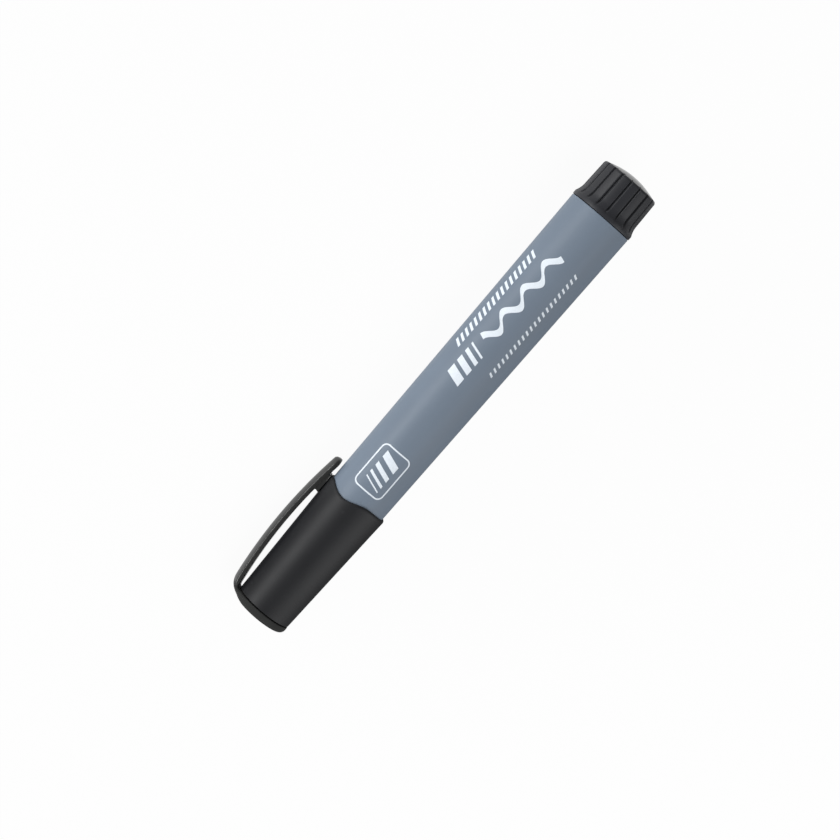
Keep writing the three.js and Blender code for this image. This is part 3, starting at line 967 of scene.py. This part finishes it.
# End plug
def grip_ring(x, radius, groove_share, steps=22):
    """One ring of the plug, with its grooves cut to a share of their full depth."""
    pitch = 360 / GROOVE_COUNT
    half_groove = math.degrees(GROOVE_WIDTH / 2 / GRIP_RADIUS)
    ring = []
    for i in range(GROOVE_COUNT * steps):
        degrees = i * pitch / steps
        offset = (degrees + pitch / 2) % pitch - pitch / 2
        cut = groove_share * GROOVE_DEPTH * wave(abs(offset) / half_groove)
        ring.append(round_point(x, radius - cut, math.radians(PLUG_TURN + degrees)))
    return ring


def plug_skin():
    """One skin from the hollow's closed end, over the spigot and the grip, to the middle of the dome."""
    flange_foot = PLUG_STEM_RADIUS + 0.2
    hollow_middle = 0.2
    flare_steps = 16
    dome_steps = 24
    dome_reach = 0.995
    bead = PLUG_SPIGOT_END + PLUG_BEAD_SETBACK
    profile = [
        (GRIP_END - PLUG_WALL, hollow_middle),
        (GRIP_END - PLUG_WALL, PLUG_HOLLOW_RADIUS - LEAD_IN),
        (PLUG_SPIGOT_END, PLUG_HOLLOW_RADIUS),
        (PLUG_SPIGOT_END, PLUG_STEM_RADIUS - LEAD_IN),
        (PLUG_SPIGOT_END + LEAD_IN, PLUG_STEM_RADIUS),
        (bead - LEAD_IN, PLUG_STEM_RADIUS),
        (bead, PLUG_STEM_RADIUS + PLUG_BEAD),
        (bead + LEAD_IN, PLUG_STEM_RADIUS),
        (PLUG_FACE, PLUG_STEM_RADIUS),
        (PLUG_FACE, FLANGE_RADIUS),
        (PLUG_FACE + FLANGE_THICKNESS, FLANGE_RADIUS),
    ]
    rings = []
    # The flange's front face reaches forward, because the seam beside it is finer than SEAT_GAP.
    for x, radius in rounded(profile, radius=PLUG_EDGE_ROUND):
        on_face = radius > flange_foot and x < PLUG_FACE + FLANGE_THICKNESS / 2
        rings.append(grip_ring(x - FLANGE_REACH if on_face else x, radius, 0))
    for i in range(1, flare_steps + 1):
        share = i / flare_steps
        radius = lerp(FLANGE_RADIUS, GRIP_RADIUS, 1 - (1 - share) ** 2)
        cut = min(1.0, share * FLARE_LENGTH / GROOVE_RUN_OUT)
        rings.append(grip_ring(PLUG_FACE + FLANGE_THICKNESS + share * FLARE_LENGTH, radius, cut))
    edge_centre = (GRIP_END - GRIP_ROUND, GRIP_END_RADIUS - GRIP_ROUND)
    for x, radius in arc_points(*edge_centre, GRIP_ROUND, start=90, end=10, steps=9):
        rings.append(grip_ring(x, radius, 1))
    rim = GRIP_END_RADIUS - GRIP_ROUND - EDGE_BREAK
    for i in range(dome_steps + 1):
        share = i / dome_steps * dome_reach
        height = DOME_HEIGHT * (1 - (1 - share) ** 2)
        rings.append(grip_ring(GRIP_END + height, rim * (1 - share), 0))
    return skinned(rings)


new_object("plug", *plug_skin(), "plug", plug_plastic, "plug_plastic", "end_plug")

# Print on the barrel: framed strokes, falling blocks, a calm wave, slanted bars and ticks
# A point of the print is a station and the arc length from the print's middle, in millimetres.
PRINT_LIFT = 0.02
PRINT_THICKNESS = 0.03
PRINT_STEP = 0.4
FRAME_MIDDLE = (45.2, 0.3)
FRAME_SIZE = (11.6, 8.0)
FRAME_CORNER = 1.4
FRAME_LINE = 0.36
FRAMED_STROKES = ((40.8, 0.35), (42.3, 0.7), (44.4, 1.2), (47.3, 1.9))
FALLING_BLOCKS = ((72.5, 2.3), (75.5, 1.7), (78.0, 1.1), (79.9, 0.55))
WAVE_START = 83.6
WAVE_END = 108.9
WAVE_LENGTH = 7.23
WAVE_HEIGHT = 1.25
WAVE_ASIDE = -1.5
WAVE_NIB = (0.5, -1.5)


def printed_shape(strips):
    """Strips, each a pair of lines with equal counts, as thin raised shells on the barrel."""
    points, faces = [], []
    for left, right in strips:
        start = len(points)
        count = len(left)
        for lift in (PRINT_LIFT, PRINT_LIFT + PRINT_THICKNESS):
            for side in (left, right):
                for x, v in side:
                    radius = barrel_radius(x)
                    points.append(round_point(x, radius + lift, math.pi / 2 + v / radius))
        a, b, c, d = (start + k * count for k in range(4))
        for i in range(count - 1):
            faces.append((a + i, b + i, b + i + 1, a + i + 1))
            faces.append((c + i, c + i + 1, d + i + 1, d + i))
            faces.append((a + i, a + i + 1, c + i + 1, c + i))
            faces.append((b + i, d + i, d + i + 1, b + i + 1))
        last = count - 1
        faces.append((a, c, d, b))
        faces.append((a + last, b + last, d + last, c + last))
    return points, faces


def pen_strip(path, nib):
    """A stroke drawn by a nib: the path pushed to both sides by half of the nib's edge."""
    return (
        [(x - nib[0] / 2, v - nib[1] / 2) for x, v in path],
        [(x + nib[0] / 2, v + nib[1] / 2) for x, v in path],
    )


def outline_strip(path, width):
    """A closed line of even width."""
    count = len(path)
    left, right = [], []
    for i in range(count + 1):
        here = Vector(path[i % count])
        along = (Vector(path[(i + 1) % count]) - Vector(path[(i - 1) % count])).normalized()
        across = Vector((-along.y, along.x)) * width / 2
        left.append(tuple(here + across))
        right.append(tuple(here - across))
    return left, right


def rounded_frame(middle, size, corner, steps=10):
    """A closed line round a rectangle with round corners, with close points to follow the barrel."""
    turns = []
    for index, (x_side, v_side) in enumerate(((1, 1), (-1, 1), (-1, -1), (1, -1))):
        centre_x = middle[0] + x_side * (size[0] / 2 - corner)
        centre_v = middle[1] + v_side * (size[1] / 2 - corner)
        start = 90 * index
        turns += arc_points(centre_x, centre_v, corner, start, start + 90, steps)
    line = []
    for i, here in enumerate(turns):
        there = turns[(i + 1) % len(turns)]
        pieces = max(1, int(math.dist(here, there) / PRINT_STEP))
        for k in range(pieces):
            line.append((lerp(here[0], there[0], k / pieces), lerp(here[1], there[1], k / pieces)))
    return line


def straight(x0, v0, x1, v1):
    count = max(2, int(math.dist((x0, v0), (x1, v1)) / PRINT_STEP))
    return [(lerp(x0, x1, i / count), lerp(v0, v1, i / count)) for i in range(count + 1)]


def stroke_row(strokes, start, end, lean):
    """Slanted strokes between two lines of arc length, for pairs of a station and a width."""
    return [pen_strip(straight(x, start, x + lean, end), (width, 0.0)) for x, width in strokes]


def even_row(first, pitch, count, width):
    return [(first + i * pitch, width) for i in range(count)]


def wave_line(steps=240):
    line = []
    for i in range(steps + 1):
        x = lerp(WAVE_START, WAVE_END, i / steps)
        swing = math.cos(2 * math.pi * (x - WAVE_START) / WAVE_LENGTH)
        line.append((x, WAVE_ASIDE - WAVE_HEIGHT * swing))
    return line


slanted_bars = even_row(first=78.6, pitch=1.55, count=18, width=0.75)
ticks = even_row(first=78.0, pitch=1.4, count=22, width=0.55)
strips = [
    outline_strip(rounded_frame(FRAME_MIDDLE, FRAME_SIZE, FRAME_CORNER), FRAME_LINE),
    *stroke_row(FRAMED_STROKES, start=2.6, end=-2.0, lean=1.6),
    pen_strip(wave_line(), WAVE_NIB),
    *stroke_row(FALLING_BLOCKS, start=0.6, end=-3.6, lean=1.2),
    *stroke_row(slanted_bars, start=-5.6, end=-8.0, lean=0.9),
    *stroke_row(ticks, start=5.6, end=4.4, lean=0.5),
]
new_object("print_marks", *printed_shape(strips), "barrel", print_white, "print_white", smooth=False)

# Floor, in metres
FLOOR_REACH = 3
FLOOR_WHITE_SHARE = 0.95
# Brightness of the floor in reflections: values below 1 are painted shade of the marker on the floor.
FLOOR_MIRRORED_NEAR_CLIP = 1.0
FLOOR_MIRRORED_AWAY = 0.1
FLOOR_MIRRORED_OUT_FROM_CAP = 0.0
FLOOR_MIRRORED_PAST_END = 1.0
CLIP_SIDE_FADE = (-0.03, 0.01)
CAP_FADE = (-0.040, -0.033)
FURTHER_OUT_FADE = (0.0120, 0.0140)
PAST_END_FADE = (0.066, 0.070)


def floor_reflection_with_painted_shade(tree):
    """How bright the floor is in reflections.

    It is darker away from the clip's side and further out beside the cap, which is painted shade standing in
    for the marker's shadow on the floor, and white past the plug.
    """
    sides = sides_of(tree, place_of(tree))

    def fade(side, span, values):
        return map_range(tree, sides[side], span, values, "SMOOTHSTEP")

    near_clip = fade("Y", CLIP_SIDE_FADE, (FLOOR_MIRRORED_AWAY, FLOOR_MIRRORED_NEAR_CLIP))
    from_cap = fade("X", CAP_FADE, (FLOOR_MIRRORED_OUT_FROM_CAP, FLOOR_MIRRORED_NEAR_CLIP))
    further_out = fade("Y", FURTHER_OUT_FADE, (0.0, 1.0))
    loss = calculated(tree, "MULTIPLY", further_out, calculated(tree, "SUBTRACT", near_clip, from_cap))
    beside = calculated(tree, "SUBTRACT", near_clip, loss)
    past_end = fade("X", PAST_END_FADE, (0.0, FLOOR_MIRRORED_PAST_END))
    return calculated(tree, "MAXIMUM", beside, past_end)


def floor_paper():
    """White to the camera, and in reflections white with painted shade in places, with a share of plain
    paper that takes the shadow.
    """
    material, tree, shader = new_material("floor_paper")
    shader.inputs["Base Color"].default_value = (0.9, 0.9, 0.9, 1)
    shader.inputs["Roughness"].default_value = 1.0
    shader.inputs["Specular IOR Level"].default_value = 0.0
    rays = add_node(tree, "ShaderNodeLightPath").outputs
    loss = calculated(tree, "SUBTRACT", floor_reflection_with_painted_shade(tree), 1.0)
    white = add_node(tree, "ShaderNodeEmission", in_Color=(1, 1, 1, 1))
    strength = calculated(tree, "MULTIPLY_ADD", loss, rays["Is Glossy Ray"], 1.0)
    tree.links.new(strength, white.inputs["Strength"])
    seen = calculated(tree, "ADD", rays["Is Camera Ray"], rays["Is Glossy Ray"], clamp=True)
    seen = calculated(tree, "ADD", seen, rays["Is Transmission Ray"], clamp=True)
    mixed = add_node(tree, "ShaderNodeMixShader")
    tree.links.new(calculated(tree, "MULTIPLY", seen, FLOOR_WHITE_SHARE), mixed.inputs["Fac"])
    tree.links.new(shader.outputs[0], mixed.inputs[1])
    tree.links.new(white.outputs[0], mixed.inputs[2])
    tree.links.new(mixed.outputs[0], tree.nodes["Material Output"].inputs["Surface"])
    return material


floor_corners = [
    (x * FLOOR_REACH, y * FLOOR_REACH, 0)
    for x, y in ((-1, -1), (1, -1), (1, 1), (-1, 1))
]
floor = add_object("floor", floor_corners, [(0, 1, 2, 3)])
floor.data.materials.append(floor_paper())

# Lights
WORLD_STRENGTH = 0.26
world = bpy.data.worlds.new("studio")
bpy.context.scene.world = world
world.use_nodes = True
background = world.node_tree.nodes["Background"]
background.inputs["Color"].default_value = (1, 1, 1, 1)
background.inputs["Strength"].default_value = WORLD_STRENGTH

dip = math.radians(DIP)
towards_clip = Vector((0, math.cos(dip), -math.sin(dip)))
towards_view = Vector((0, math.sin(dip), math.cos(dip)))
middle = Vector((0, AXIS_Y, AXIS_Z))


def softbox(name, degrees, towards_cap, distance, size, power):
    """A lamp aimed at the marker's middle.

    It stands at an angle from the viewing side towards the clip, and a share further towards the cap.
    """
    angle = math.radians(degrees)
    across = towards_view * math.cos(angle) + towards_clip * math.sin(angle)
    direction = (across + Vector((-towards_cap, 0, 0))).normalized()
    light = bpy.data.lights.new(name, "AREA")
    light.shape = "RECTANGLE"
    light.size, light.size_y = size
    light.energy = power
    lamp = bpy.data.objects.new(name, light)
    bpy.context.scene.collection.objects.link(lamp)
    lamp.location = middle + direction * distance
    lamp.rotation_mode = "QUATERNION"
    lamp.rotation_quaternion = (-direction).to_track_quat("-Z", "Y")


softbox("key", degrees=47, towards_cap=0.25, distance=0.6, size=(0.7, 0.13), power=3.75)
softbox("fill", degrees=-70, towards_cap=0.3, distance=0.8, size=(1.0, 0.8), power=5.1)

# Camera at the photograph's viewing angle
TILT = math.radians(4.7)
SLANT = math.radians(49.25)
DISTANCE = 0.530
AIM_STATION = 59.3
AIM_ASIDE = 0.00093
PICTURE_SIDE = 840
FOCAL_LENGTH_IN_PIXELS = 2284
SENSOR_WIDTH = 36

towards_plug = Vector((1, 0, 0))
back = towards_view * math.cos(TILT) + towards_plug * math.sin(TILT)
lengthwise = towards_plug * math.cos(TILT) - towards_view * math.sin(TILT)
right = lengthwise * math.cos(SLANT) - towards_clip * math.sin(SLANT)
up = lengthwise * math.sin(SLANT) + towards_clip * math.cos(SLANT)
aim = Vector((AXIS_X + AIM_STATION * MM, AXIS_Y, AXIS_Z)) + towards_clip * AIM_ASIDE
camera_data = bpy.data.cameras.new("camera")
camera_data.sensor_width = SENSOR_WIDTH
camera_data.lens = FOCAL_LENGTH_IN_PIXELS / PICTURE_SIDE * SENSOR_WIDTH
camera_data.clip_start = 0.01
camera_data.clip_end = 20
camera = bpy.data.objects.new("camera", camera_data)
bpy.context.scene.collection.objects.link(camera)
camera_turn = Matrix((right, up, back)).transposed().to_4x4()
camera.matrix_world = Matrix.Translation(aim + back * DISTANCE) @ camera_turn
bpy.context.scene.camera = camera
bpy.context.scene.view_settings.view_transform = "Standard"
